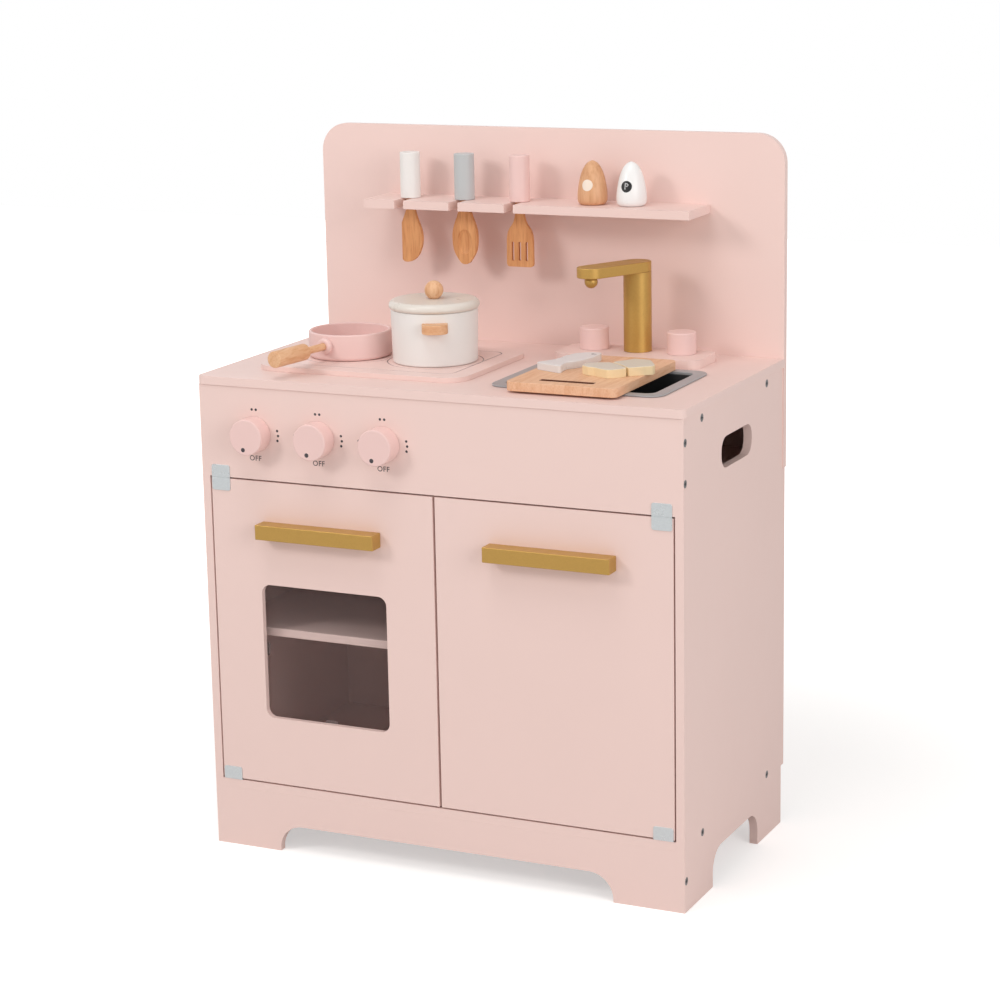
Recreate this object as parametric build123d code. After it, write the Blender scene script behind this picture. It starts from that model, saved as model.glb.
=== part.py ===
from build123d import *
import os
from math import cos, radians, sin

# Play kitchen in millimetres. X is the width, Y the depth towards the back, Z up.
# Below, y = 0 is the front plane of the cabinet. The finished pieces are moved so that
# the origin is under the middle of the whole kitchen, on the floor.

# Cabinet boards
cabinet_width = 600.0
cabinet_depth = 318.0
side_height = 560.0
board = 10.0
worktop_thickness = 10.0
worktop_side_overhang = 2.0
worktop_front_overhang = 1.5
worktop_corner = 8.0
splash_side_overhang = 1.5
splash_top = 831.0
splash_bottom = 440.0
splash_thickness = 9.0
splash_corner = 34.0
back_panel_joint = 0.5
bottom_panel_top = 82.0
middle_panel_bottom = 452.0

# Arches and hand holes
front_arch_height = 33.0
front_foot_length = 76.0
front_arch_radius = 30.0
side_arch_front = 87.0
side_arch_back = 236.0
side_arch_height = 43.0
side_arch_radius = 27.0
hand_hole_front = 115.0
hand_hole_length = 98.0
hand_hole_bottom = 480.0
hand_hole_height = 36.0
hand_hole_radius = 16.0

# Doors
door_thickness = 10.0
door_gap = 2.0
door_middle_gap = 3.0
door_to_divider = 2.0
window_width = 163.0
window_height = 162.0
window_bottom = 165.0
window_radius = 11.0
pane_thickness = 3.0
pane_lip = 6.0
pane_clearance = 0.2
clip_width = 16.0
clip_thickness = 1.5
handle_length = 153.0
handle_height = 17.5
handle_depth = 20.0
handle_bottom = 385.5

# Pivot hinges
plate_thickness = 0.9
plate_width = 24.0
plate_height = 15.0
plate_flange = 10.0
pivot_inset = 9.0
pivot_depth = 5.0
pivot_radius = 1.5
pivot_length = 12.0
running_clearance = 0.05
plate_face = 1.0

# Shelf in the oven and catches
oven_shelf_top = 269.0
oven_shelf_setback = 20.0
shelf_clearance = 0.3
shelf_pin_radius = 2.5
shelf_pin_length = 16.0
catch_width = 12.0
catch_height = 30.0
catch_depth = 16.0
catch_bottom = 395.0
strike_thickness = 0.8
strike_size = 18.0

# Control knobs
knob_radius = 21.0
knob_depth = 22.0
knob_gap = 0.4
knob_edge = 1.5
knob_height = 505.5
knob_first = -227.8
knob_pitch = 83.0
spindle_radius = 3.0
spindle_head_radius = 6.0
spindle_head = 3.0
spindle_depth = 12.0

# Wall shelf
wall_shelf_width = 420.0
wall_shelf_depth = 68.0
wall_shelf_thickness = 10.0
wall_shelf_top = 747.0
notch_width = 12.0
notch_depth = 41.0
notch_first = -162.9
notch_pitch = 72.6
utensil_setback = 33.0

# Hob
hob_width = 269.0
hob_depth = 194.0
hob_thickness = 6.0
hob_corner = 28.0
hob_side_gap = 43.0
hob_front = 50.0
groove_inset = 22.5
groove_corner = 14.0
groove_width = 1.2
groove_depth = 0.8
burner_offset = 56.0
burner_radius = 56.0

# Sink
sink_side_gap = 46.0
sink_front = 48.0
sink_width = 208.0
sink_depth = 158.0
sink_corner = 18.0
sink_rim = 12.0
sink_rim_thickness = 2.0
bowl_depth = 42.0
bowl_wall = 1.6
bowl_draft = 4.0
bowl_clearance = 1.0

# Tap
tap_offset = 9.0
tap_setback = 56.0
tap_base_length = 182.0
tap_base_depth = 70.0
tap_base_setback = 100.0
tap_base_thickness = 10.0
tap_base_corner = 14.0
tap_radius = 16.4
tap_height = 106.0
tap_arm_thickness = 12.0
tap_arm_reach = 70.0
tap_arm_angle = 27.0
nozzle_radius = 7.6
nozzle_drop = 5.0
tap_running_gap = 0.3
tap_handle_radius = 17.0
tap_handle_height = 25.5
tap_handle_spacing = 55.0
tap_handle_edge = 1.5

# Chopping board and the food on it
board_inset = 34.0
board_front = 22.0
board_width = 133.0
board_length = 184.0
board_thickness = 10.5
board_corner = 9.0
board_slot_length = 64.0
board_slot_width = 8.0
board_slot_inset = 22.0
fish_thickness = 8.5
toast_thickness = 10.0
food_edge = 1.0

# Pot
pot_base_radius = 49.5
pot_rim_radius = 51.0
pot_height = 62.0
pot_wall = 4.0
pot_handle_width = 30.0
pot_handle_reach = 18.0
pot_handle_height = 11.0
pot_handle_drop = 10.0
pot_handle_turn = 26.6
lid_radius = 53.0
lid_thickness = 10.5
lid_edge = 5.0
lid_plug_depth = 6.0
lid_clearance = 0.5
lid_knob_radius = 11.0
lid_knob_flat = 1.0

# Pan
pan_radius = 49.0
pan_height = 31.0
pan_wall = 4.0
pan_bottom = 4.0
pan_handle_turn = 7.6
pan_handle_height = 18.0
pan_boss_radius = 8.0
pan_boss_length = 5.0
pan_neck_radius = 4.3
pan_neck_length = 37.0
pan_grip_radius = 9.7
pan_grip_length = 58.0
pan_grip_edge = 1.5
tenon_length = 3.0

# Utensils
utensil_handle_radius = 12.2
utensil_handle_height = 55.0
utensil_handle_edge = 1.0
blade_thickness = 5.0
blade_neck = 10.5
blade_tenon = 20.0
blade_bottom = 669.0
blade_shoulder_gap = 5.0
spoon_hollow_height = 27.0
turner_slot_width = 3.2
turner_slot_length = 23.0
turner_slot_height = 18.5
turner_slot_pitch = 9.0

# Shakers
shaker_height = 51.5
shaker_side = [(13.5, 0.0), (16.6, 2.5), (17.7, 8.5), (17.3, 16.5), (16.4, 22.5), (15.3, 28.3),
               (13.8, 34.2), (11.7, 40.0), (8.6, 45.6), (4.6, 49.6), (0.0, shaker_height)]
shaker_beech_x = 76.5
shaker_white_x = 125.9
shaker_setback = 33.0

# Gap under each loose piece where it rests
rest_gap = 0.2

# Screws
screw_head_radius = 4.6
screw_head_depth = 2.6
screw_radius = 2.0
screw_length = 26.0
screw_cross = 1.2
screw_cross_depth = 1.6
screw_clearance = 0.05
corner_block = 18.0

# Places that follow from the sizes
half_width = cabinet_width / 2
splash_width = cabinet_width + 2 * splash_side_overhang
inner_x = half_width - board
worktop_top = side_height + worktop_thickness
plinth_height = bottom_panel_top - board
door_bottom = bottom_panel_top + door_gap
door_top = middle_panel_bottom - door_gap
door_outer = inner_x - door_gap
door_inner = door_middle_gap / 2
door_centre = (door_outer + door_inner) / 2
divider_front = door_thickness + door_to_divider
pivot_x = door_outer - pivot_inset
shelf_front = cabinet_depth - wall_shelf_depth
shelf_bottom = wall_shelf_top - wall_shelf_thickness
blade_top = shelf_bottom - blade_shoulder_gap
shelf_rest = wall_shelf_top + rest_gap
hob_top = worktop_top + hob_thickness
pot_rest = hob_top + rest_gap
pot_rim = pot_rest + pot_height
lid_rest = pot_rim + rest_gap
hob_left = hob_side_gap - half_width
hob_x = hob_left + hob_width / 2
hob_y = hob_front + hob_depth / 2
pot_x = hob_x + burner_offset
pan_x = hob_x - burner_offset
sink_left = half_width - sink_side_gap - sink_width
sink_x = sink_left + sink_width / 2
sink_y = sink_front + sink_depth / 2
sink_rest = worktop_top + rest_gap
sink_top = sink_rest + sink_rim_thickness
board_rest = sink_top + rest_gap
board_left = sink_left + board_inset
board_x = board_left + board_width / 2
board_y = board_front + board_length / 2
board_top = board_rest + board_thickness
food_rest = board_top + rest_gap
tap_x = sink_x - tap_offset
tap_y = cabinet_depth - tap_setback
tap_base_front = cabinet_depth - tap_base_setback
tap_seat = worktop_top + tap_base_thickness
utensil_y = shelf_front + utensil_setback
shaker_y = shelf_front + shaker_setback
front_reach = max(knob_depth + knob_gap, handle_depth)
depth_middle = (cabinet_depth + splash_thickness - front_reach) / 2

os.makedirs("parts", exist_ok=True)


def save(name, shape):
    """Move a piece to the kitchen's own origin and write it."""
    export_step(shape.moved(Location((0, -depth_middle, 0))), f"parts/{name}.step")


def block(x0, x1, y0, y1, z0, z1):
    return Pos((x0 + x1) / 2, (y0 + y1) / 2, (z0 + z1) / 2) * Box(x1 - x0, y1 - y0, z1 - z0)


def rounded_slab(x, y, z, width, depth, height, corner):
    """A flat slab with rounded corners, standing on height z."""
    return Pos(x, y, z) * extrude(RectangleRounded(width, depth, corner), height)


def front_plane(x, y, z):
    """A plane that faces the front, with its local X to the right and its local Y up."""
    return Plane(origin=(x, y, z), x_dir=(1, 0, 0), z_dir=(0, -1, 0))


def upright_slab(x, z, y, width, height, depth, corner):
    """A slab seen from the front, with rounded corners, from y to y + depth."""
    return extrude(front_plane(x, y + depth, z) * RectangleRounded(width, height, corner), depth)


def rod(x, y, z, radius, length):
    """A vertical cylinder that stands on height z."""
    return Pos(x, y, z + length / 2) * Cylinder(radius, length)


def rod_back(x, y, z, radius, length):
    """A cylinder along Y that starts at y and runs towards the back."""
    return Pos(x, y + length / 2, z) * Rot(90, 0, 0) * Cylinder(radius, length)


def mirrored(shape):
    return mirror(shape, about=Plane.YZ)


# Screws
def screw_body(clearance=0.0):
    """A countersunk screw with its head's face at the origin, pointing along +Z."""
    head = Pos(0, 0, screw_head_depth / 2) * Cone(
        screw_head_radius + clearance, screw_radius + clearance, screw_head_depth)
    shank = Pos(0, 0, screw_length / 2) * Cylinder(screw_radius + clearance, screw_length)
    return head + shank


def screw():
    cross = Box(2 * screw_cross + 2, screw_cross, 2 * screw_cross_depth)
    return screw_body() - cross - Rot(0, 0, 90) * cross


side_screw_places = [
    (55.0, side_height - corner_block / 2),
    (263.0, side_height - corner_block / 2),
    (door_thickness / 2, 533.0),
    (door_thickness / 2, 488.0),
    (268.0, bottom_panel_top - board / 2),
    (55.0, bottom_panel_top - board / 2),
    (board / 2, 36.5),
]
back_screw_heights = (110.0, 260.0, 410.0, 470.0, 530.0)
shelf_screw_places = (20.0 - wall_shelf_width / 2, -54.0, 20.0, wall_shelf_width / 2 - 20.0)


def screw_frames():
    """Where each cabinet screw's head lies, and which way it points."""
    frames = []
    for y, z in side_screw_places:
        frames.append(Pos(half_width, y, z) * Rot(0, -90, 0))
        frames.append(Pos(-half_width, y, z) * Rot(0, 90, 0))
    for z in back_screw_heights:
        for x in (-half_width + board / 2, half_width - board / 2):
            frames.append(Pos(x, cabinet_depth + splash_thickness, z) * Rot(90, 0, 0))
    for x in shelf_screw_places:
        height = wall_shelf_top - wall_shelf_thickness / 2
        frames.append(Pos(x, cabinet_depth + splash_thickness, height) * Rot(90, 0, 0))
    return frames


def drilled(shape):
    """Cut the holes of the screws that pass through a piece."""
    hole = screw_body(screw_clearance)
    box = shape.bounding_box()
    for frame in screw_frames():
        cutter = frame * hole
        reach = cutter.bounding_box()
        apart = (reach.min.X > box.max.X or reach.max.X < box.min.X
                 or reach.min.Y > box.max.Y or reach.max.Y < box.min.Y
                 or reach.min.Z > box.max.Z or reach.max.Z < box.min.Z)
        if not apart:
            shape = shape - cutter
    return shape


# Boards of the cabinet
def side_panel():
    """The right side panel, with its hand hole and the arch between its feet."""
    panel = block(inner_x, half_width, 0, cabinet_depth, 0, side_height)
    hole_y = hand_hole_front + hand_hole_length / 2
    hole_z = hand_hole_bottom + hand_hole_height / 2
    hole = Plane.YZ * Pos(hole_y, hole_z) * RectangleRounded(
        hand_hole_length, hand_hole_height, hand_hole_radius)
    arch_y = (side_arch_front + side_arch_back) / 2
    arch = Plane.YZ * Pos(arch_y, 0) * RectangleRounded(
        side_arch_back - side_arch_front, 2 * side_arch_height, side_arch_radius)
    panel = panel - Pos(inner_x, 0, 0) * extrude(hole, board)
    panel = panel - Pos(inner_x, 0, 0) * extrude(arch, board)
    return drilled(panel)


def front_plinth():
    """The board under the doors, with its wide arch."""
    plinth = block(-inner_x, inner_x, 0, board, 0, plinth_height)
    arch_width = 2 * (inner_x - front_foot_length)
    arch = upright_slab(0, 0, 0, arch_width, 2 * front_arch_height, board, front_arch_radius)
    return drilled(plinth - arch)


def worktop():
    """The top board, with the sink opening and the bores for the tap."""
    top = block(-half_width - worktop_side_overhang, half_width + worktop_side_overhang,
                -worktop_front_overhang, cabinet_depth, side_height, worktop_top)
    corners = top.edges().filter_by(Axis.Z).group_by(Axis.Y)[0]
    top = fillet(corners, worktop_corner)
    opening = rounded_slab(sink_x, sink_y, side_height, sink_width - 2 * sink_rim + 2 * bowl_clearance,
                           sink_depth - 2 * sink_rim + 2 * bowl_clearance, worktop_thickness,
                           sink_corner - sink_rim / 2)
    top = top - opening
    for x in tap_places():
        top = top - rod(x, tap_y, side_height, spindle_radius + running_clearance, worktop_thickness)
    return top


def splash_outline(height_from, height_to, corner):
    """The back board's front view, rounded at its two top corners."""
    sheet = block(-splash_width / 2, splash_width / 2, cabinet_depth,
                  cabinet_depth + splash_thickness, height_from, height_to)
    corners = sheet.edges().filter_by(Axis.Y).group_by(Axis.Z)[-1]
    return fillet(corners, corner)


def back_splash():
    return drilled(splash_outline(splash_bottom, splash_top, splash_corner))


def back_panel():
    panel = block(-half_width, half_width, cabinet_depth, cabinet_depth + splash_thickness,
                  plinth_height, splash_bottom - back_panel_joint)
    return drilled(panel)


def control_panel():
    """The board behind the knobs, with a bore for each spindle."""
    panel = block(-inner_x, inner_x, 0, board, middle_panel_bottom, side_height)
    for x in knob_places():
        panel = panel - rod_back(x, 0, knob_height, spindle_radius + running_clearance, board)
    return drilled(panel)


def corner_blocks():
    blocks = []
    for side in (-1, 1):
        for y, z in side_screw_places[:2]:
            outer = side * inner_x
            inner = side * (inner_x - corner_block)
            piece = block(min(outer, inner), max(outer, inner), y - corner_block / 2,
                          y + corner_block / 2, side_height - corner_block, side_height)
            blocks.append(drilled(piece))
    return Compound(children=blocks)


# Oven shelf, its pins and the door catches
def oven_shelf():
    return block(-inner_x + shelf_clearance, -board / 2 - shelf_clearance,
                 oven_shelf_setback, cabinet_depth, oven_shelf_top - board, oven_shelf_top)


def shelf_pins():
    """Four pins in the side panel and the divider, which carry the oven shelf."""
    pins = []
    height = oven_shelf_top - board - shelf_pin_radius
    for y in (oven_shelf_setback + 30, cabinet_depth - 40):
        for x, way in ((-inner_x, 1), (-board / 2, -1)):
            start = x - way * shelf_pin_length / 2
            middle = start + way * shelf_pin_length / 2
            pins.append(Pos(middle, y, height) * Rot(0, 90, 0)
                        * Cylinder(shelf_pin_radius, shelf_pin_length))
    return pins


def without_pins(shape):
    for pin in shelf_pins():
        shape = shape - pin
    return shape


def magnetic_catch(side):
    """A catch on one side of the divider, just behind the closed door."""
    near = side * board / 2
    far = side * (board / 2 + catch_width)
    front = door_thickness + strike_thickness + shelf_clearance
    body = block(min(near, far), max(near, far), front, front + catch_depth,
                 catch_bottom, catch_bottom + catch_height)
    slot_x = side * (board / 2 + catch_width / 2)
    magnet = Pos(slot_x, front, catch_bottom + catch_height / 2) * Box(4, 3, catch_height - 10)
    return body - magnet


def strike_plate(side):
    """The steel plate on a door's back that the catch holds."""
    x = side * (board / 2 + catch_width / 2)
    z = catch_bottom + catch_height / 2
    return upright_slab(x, z, door_thickness, strike_size, strike_size, strike_thickness, 2.0)


# Doors
def door_blank():
    """The right door: a plain board with the two bores of its pivot."""
    blank = block(door_inner, door_outer, 0, door_thickness, door_bottom, door_top)
    bore = pivot_radius + running_clearance
    depth = pivot_length + 1.0
    blank = blank - rod(pivot_x, pivot_depth, door_top - depth, bore, depth)
    return blank - rod(pivot_x, pivot_depth, door_bottom, bore, depth)


def window_centre():
    return -door_centre, window_bottom + window_height / 2


def oven_door_panel():
    """The left door, with its window and a rebate behind it for the pane."""
    x, z = window_centre()
    opening = upright_slab(x, z, 0, window_width, window_height, door_thickness, window_radius)
    rebate = upright_slab(x, z, door_thickness - pane_thickness, window_width + 2 * pane_lip,
                          window_height + 2 * pane_lip, pane_thickness, window_radius)
    return mirrored(door_blank()) - opening - rebate


def oven_window():
    x, z = window_centre()
    shrink = 2 * (pane_lip - pane_clearance)
    return upright_slab(x, z, door_thickness - pane_thickness, window_width + shrink,
                        window_height + shrink, pane_thickness, window_radius)


def window_clips():
    """Four small plates on the door's back that hold the pane, with their screw heads."""
    clips = []
    x, z = window_centre()
    reach_x = window_width / 2 + pane_lip
    reach_z = window_height / 2 + pane_lip
    for dx, dz in ((-reach_x, 0), (reach_x, 0), (0, -reach_z), (0, reach_z)):
        plate = upright_slab(x + dx, z + dz, door_thickness, clip_width, clip_width,
                             clip_thickness, 3.0)
        clips.append(plate)
    return Compound(children=clips)


def door_handle():
    """The right door's square bar, flat against the door."""
    bar = block(door_centre - handle_length / 2, door_centre + handle_length / 2,
                -handle_depth, 0, handle_bottom, handle_bottom + handle_height)
    return fillet(bar.edges(), 0.8)


# Pivot hinges
def hinge_plate(z_flange, way, pin):
    """One folded plate at the right door: a face leaf, a flange in the gap and maybe a pin."""
    x0 = pivot_x - (plate_width - pivot_inset + plate_face)
    x1 = x0 + plate_width
    z1 = z_flange + way * plate_thickness
    flange = block(x0, x1, -plate_face, plate_flange, min(z_flange, z1), max(z_flange, z1))
    z2 = z_flange + way * plate_height
    leaf = block(x0, x1, -plate_face, 0, min(z_flange, z2), max(z_flange, z2))
    plate = flange + leaf
    if pin:
        start = z_flange if way < 0 else z_flange - pivot_length
        return plate + rod(pivot_x, pivot_depth, start, pivot_radius, pivot_length)
    bore = pivot_radius + running_clearance
    cut = min(z_flange, z1)
    return plate - rod(pivot_x, pivot_depth, cut, bore, plate_thickness)


def fixed_hinge_plates():
    """The plates on the control panel and the bottom panel, with the pins the doors turn on."""
    top = hinge_plate(middle_panel_bottom - plate_thickness, 1, True)
    x0 = pivot_x - (plate_width - pivot_inset + plate_face)
    bottom = block(x0, x0 + plate_width, 0, plate_flange, bottom_panel_top,
                   bottom_panel_top + plate_thickness)
    bottom = bottom + rod(pivot_x, pivot_depth, bottom_panel_top, pivot_radius, pivot_length)
    return Compound(children=[top, bottom, mirrored(top), mirrored(bottom)])


def door_hinge_plates():
    """The two plates on the right door, around its top and bottom edges."""
    top = hinge_plate(door_top + plate_thickness, -1, False)
    bottom = hinge_plate(door_bottom - plate_thickness, 1, False)
    return top, bottom


# Control knobs
def knob_places():
    return [knob_first + index * knob_pitch for index in range(3)]


def knob(x):
    body = rod_back(x, -knob_depth - knob_gap, knob_height, knob_radius, knob_depth)
    body = fillet(body.edges().group_by(Axis.Y)[0], knob_edge)
    bore = rod_back(x, -knob_gap - spindle_depth, knob_height, spindle_radius, spindle_depth)
    return body - bore


def knob_spindle(x):
    """The bolt in the knob, with its head behind the control panel."""
    shaft = rod_back(x, -knob_gap - spindle_depth, knob_height, spindle_radius,
                     spindle_depth + 2 * knob_gap + board)
    head = rod_back(x, board + knob_gap, knob_height, spindle_head_radius, spindle_head)
    return shaft + head


# Wall shelf
def notch_places():
    return [notch_first + index * notch_pitch for index in range(3)]


def wall_shelf():
    """The shelf on the back board, with three open notches for the utensils."""
    shelf = block(-wall_shelf_width / 2, wall_shelf_width / 2, shelf_front, cabinet_depth,
                  shelf_bottom, wall_shelf_top)
    for x in notch_places():
        notch = block(x - notch_width / 2, x + notch_width / 2, shelf_front,
                      shelf_front + notch_depth, shelf_bottom, wall_shelf_top)
        notch = fillet(notch.edges().filter_by(Axis.Z).group_by(Axis.Y)[-1], notch_width / 2 - 0.5)
        shelf = shelf - notch
    return drilled(shelf)


# Hob
def groove_ring(radius):
    ring = Circle(radius + groove_width / 2) - Circle(radius - groove_width / 2)
    return extrude(ring, groove_depth)


def hob_plate():
    """The hob with a rounded line near its edge and a ring for each burner."""
    plate = rounded_slab(hob_x, hob_y, worktop_top, hob_width, hob_depth, hob_thickness, hob_corner)
    line_width = hob_width - 2 * groove_inset
    line_depth = hob_depth - 2 * groove_inset
    line = RectangleRounded(line_width, line_depth, groove_corner) - RectangleRounded(
        line_width - 2 * groove_width, line_depth - 2 * groove_width, groove_corner - groove_width)
    plate = plate - Pos(hob_x, hob_y, hob_top - groove_depth) * extrude(line, groove_depth)
    for x in (pot_x, pan_x):
        plate = plate - Pos(x, hob_y, hob_top - groove_depth) * groove_ring(burner_radius)
    return plate


# Sink
def sink_bowl():
    """A drop-in bowl: a flat rim on the worktop and drafted walls below it."""
    width = sink_width - 2 * sink_rim
    depth = sink_depth - 2 * sink_rim
    corner = sink_corner - sink_rim / 2
    rim = rounded_slab(sink_x, sink_y, sink_rest, sink_width, sink_depth, sink_rim_thickness,
                       sink_corner)
    top = Pos(sink_x, sink_y, sink_top)
    low = Pos(sink_x, sink_y, sink_top - bowl_depth)
    outside = loft([top * RectangleRounded(width, depth, corner),
                    low * RectangleRounded(width - 2 * bowl_draft, depth - 2 * bowl_draft, corner)])
    floor = Pos(sink_x, sink_y, sink_top - bowl_depth + bowl_wall)
    inside = loft([top * RectangleRounded(width - 2 * bowl_wall, depth - 2 * bowl_wall, corner),
                   floor * RectangleRounded(width - 2 * bowl_draft - 2 * bowl_wall,
                                            depth - 2 * bowl_draft - 2 * bowl_wall, corner)])
    return rim + outside - inside


# Tap
def tap_places():
    return (tap_x - tap_handle_spacing, tap_x, tap_x + tap_handle_spacing)


def tap_base():
    y = tap_base_front + tap_base_depth / 2
    base = rounded_slab(tap_x, y, worktop_top, tap_base_length, tap_base_depth,
                        tap_base_thickness, tap_base_corner)
    for x in tap_places():
        base = base - rod(x, tap_y, worktop_top, spindle_radius + running_clearance,
                          tap_base_thickness)
    return base


def arm_end():
    angle = radians(tap_arm_angle)
    return tap_x - tap_arm_reach * sin(angle), tap_y - tap_arm_reach * cos(angle)


def tap_column():
    height = tap_height - tap_arm_thickness - tap_running_gap
    column = rod(tap_x, tap_y, tap_seat + tap_running_gap, tap_radius, height)
    bore = rod(tap_x, tap_y, tap_seat + tap_running_gap, spindle_radius, 2 * spindle_depth)
    return column - bore


def tap_arm():
    """The flat arm with round ends, on top of the column."""
    bar = SlotCenterToCenter(tap_arm_reach, 2 * tap_radius)
    end_x, end_y = arm_end()
    middle = Pos((tap_x + end_x) / 2, (tap_y + end_y) / 2, tap_seat + tap_height - tap_arm_thickness)
    return middle * Rot(0, 0, 90 - tap_arm_angle) * extrude(bar, tap_arm_thickness)


def tap_nozzle():
    """A ball under the arm's end, cut flat where it meets the arm."""
    x, y = arm_end()
    underside = tap_seat + tap_height - tap_arm_thickness
    ball = Pos(x, y, underside - nozzle_drop) * Sphere(nozzle_radius)
    reach = 2 * nozzle_radius
    return ball - block(x - reach, x + reach, y - reach, y + reach, underside, underside + reach)


def tap_pivot():
    """The bolt that the tap turns with, its head under the worktop."""
    shaft_bottom = side_height - tap_running_gap
    shaft = rod(tap_x, tap_y, shaft_bottom, spindle_radius,
                tap_seat + tap_running_gap + 2 * spindle_depth - shaft_bottom)
    head = rod(tap_x, tap_y, shaft_bottom - spindle_head, spindle_head_radius, spindle_head)
    return shaft + head


def tap_handle(x):
    """A round handle turned in one piece with the peg under it."""
    body = rod(x, tap_y, tap_seat + tap_running_gap, tap_handle_radius, tap_handle_height)
    body = fillet(body.edges().group_by(Axis.Z)[-1], tap_handle_edge)
    peg_bottom = side_height - tap_running_gap
    peg = rod(x, tap_y, peg_bottom, spindle_radius, tap_seat + tap_running_gap - peg_bottom)
    head = rod(x, tap_y, peg_bottom - spindle_head, spindle_head_radius, spindle_head)
    return body + peg + head


# Chopping board and food
def chopping_board():
    slab = rounded_slab(board_x, board_y, board_rest, board_width, board_length, board_thickness,
                        board_corner)
    slot = Pos(board_x, board_front + board_slot_inset, board_rest) * extrude(
        SlotOverall(board_slot_length, board_slot_width), board_thickness)
    return slab - slot


def flat_toy(points, thickness, round_radius):
    """A rounded wooden shape on the chopping board; its points start at the board's front left corner."""
    outline = make_face(Polyline(*points, close=True))
    outline = fillet(outline.vertices(), round_radius)
    shape = Pos(board_left, board_front, food_rest) * extrude(outline, thickness)
    return fillet(shape.edges().group_by(Axis.Z)[-1], food_edge)


def toy_fish():
    """A fish with a broad tail at the front and a slim head at the back."""
    points = [(4, 77.5), (22, 70), (40.5, 62.5), (37, 77.5), (37.5, 88.5), (44, 97),
              (48.5, 108), (52, 126), (53, 146), (51, 155.5), (43, 156.5), (33, 152),
              (23.5, 142.5), (19, 127.5), (18.5, 110.5), (15, 96), (8.5, 86)]
    return flat_toy(points, fish_thickness, 2.5)


def toast_left():
    points = [(64, 69), (63, 82), (73, 90.5), (86, 95.5), (98, 89.5), (109.5, 78.5),
              (117, 70), (113, 62), (107, 55), (101.5, 51.5), (91.5, 55.5), (81.5, 61.5), (74, 62)]
    return flat_toy(points, toast_thickness, 2.5)


def toast_right():
    points = [(118.6, 71.2), (125, 77), (133, 84.5), (140.5, 89.5), (139.5, 98.5), (132, 111),
              (125, 122.5), (116.5, 125), (104, 125.5), (97.5, 113), (91.5, 104.5), (89, 98),
              (99.2, 91), (110.5, 80)]
    return flat_toy(points, toast_thickness, 2.5)


# Pot
def turned(points, x, y):
    """A round piece from its half profile, given as radius and height points."""
    outline = Polyline(*[(r, 0, z) for r, z in points], close=True)
    return Pos(x, y, 0) * revolve(make_face(outline), Axis.Z)


def pot_body():
    floor = pot_rest + pot_wall
    profile = [(0, pot_rest), (pot_base_radius, pot_rest), (pot_rim_radius, pot_rim),
               (pot_rim_radius - pot_wall, pot_rim), (pot_base_radius - pot_wall, floor), (0, floor)]
    return turned(profile, pot_x, hob_y)


def pot_handle(turn):
    """A D-shaped grip against the pot's wall, facing the direction of turn."""
    outer = Pos(pot_rim_radius - 2, 0) * RectangleRounded(
        2 * pot_handle_reach + 4, pot_handle_width, pot_handle_width / 2 - 4)
    grip = Pos(0, 0, pot_rim - pot_handle_drop - pot_handle_height) * extrude(
        outer, pot_handle_height)
    grip = Pos(pot_x, hob_y, 0) * Rot(0, 0, turn) * grip
    hollow = turned([(0, pot_rest), (pot_base_radius, pot_rest), (pot_rim_radius, pot_rim),
                     (0, pot_rim)], pot_x, hob_y)
    return grip - hollow


def pot_handles():
    towards_front = -90 + pot_handle_turn
    return Compound(children=[pot_handle(towards_front), pot_handle(towards_front + 180)])


def pot_lid():
    """A flat lid with a rounded edge and a plug that sits inside the rim."""
    disc = rod(pot_x, hob_y, lid_rest, lid_radius, lid_thickness)
    disc = fillet(disc.edges().group_by(Axis.Z)[-1], lid_edge)
    plug_radius = pot_base_radius - pot_wall - lid_clearance
    plug = rod(pot_x, hob_y, lid_rest - lid_plug_depth, plug_radius, lid_plug_depth)
    return disc + plug


def lid_knob():
    seat = lid_rest + lid_thickness
    ball = Pos(pot_x, hob_y, seat + lid_knob_radius - lid_knob_flat) * Sphere(lid_knob_radius)
    reach = 2 * lid_knob_radius
    return ball - block(pot_x - reach, pot_x + reach, hob_y - reach, hob_y + reach,
                        seat - reach, seat)


# Pan
def pan_axis():
    """The pan handle's direction from the pan's centre, with its local X along it."""
    height = pot_rest + pan_handle_height
    return Pos(pan_x, hob_y, height) * Rot(0, 0, -90 - pan_handle_turn) * Rot(0, 90, 0)


def along_handle(start, length, radius):
    return pan_axis() * Pos(0, 0, start + length / 2) * Cylinder(radius, length)


def pan_body():
    """The pan and the boss that takes its handle."""
    body = rod(pan_x, hob_y, pot_rest, pan_radius, pan_height)
    body = fillet(body.edges().group_by(Axis.Z)[0], 2.0)
    boss = along_handle(pan_radius - pan_wall, pan_wall + pan_boss_length, pan_boss_radius)
    inside = rod(pan_x, hob_y, pot_rest + pan_bottom, pan_radius - pan_wall, pan_height)
    socket = along_handle(pan_radius + pan_boss_length - tenon_length, tenon_length,
                          pan_neck_radius)
    return body + boss - inside - socket


def pan_handle():
    """A turned handle: a thin neck and a round grip."""
    start = pan_radius + pan_boss_length - tenon_length
    neck = along_handle(start, pan_neck_length + tenon_length, pan_neck_radius)
    grip_start = start + tenon_length + pan_neck_length
    grip = along_handle(grip_start, pan_grip_length, pan_grip_radius)
    grip = fillet(grip.edges().filter_by(GeomType.CIRCLE), pan_grip_edge)
    return neck + grip


# Utensils
def utensil_handle(x):
    """A round handle that stands on the shelf, with the socket of its blade."""
    grip = rod(x, utensil_y, shelf_rest, utensil_handle_radius, utensil_handle_height)
    grip = fillet(grip.edges().filter_by(GeomType.CIRCLE), utensil_handle_edge)
    socket = block(x - blade_neck / 2, x + blade_neck / 2, utensil_y - blade_thickness / 2,
                   utensil_y + blade_thickness / 2, shelf_rest, shelf_rest + blade_tenon)
    return grip - socket


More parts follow.
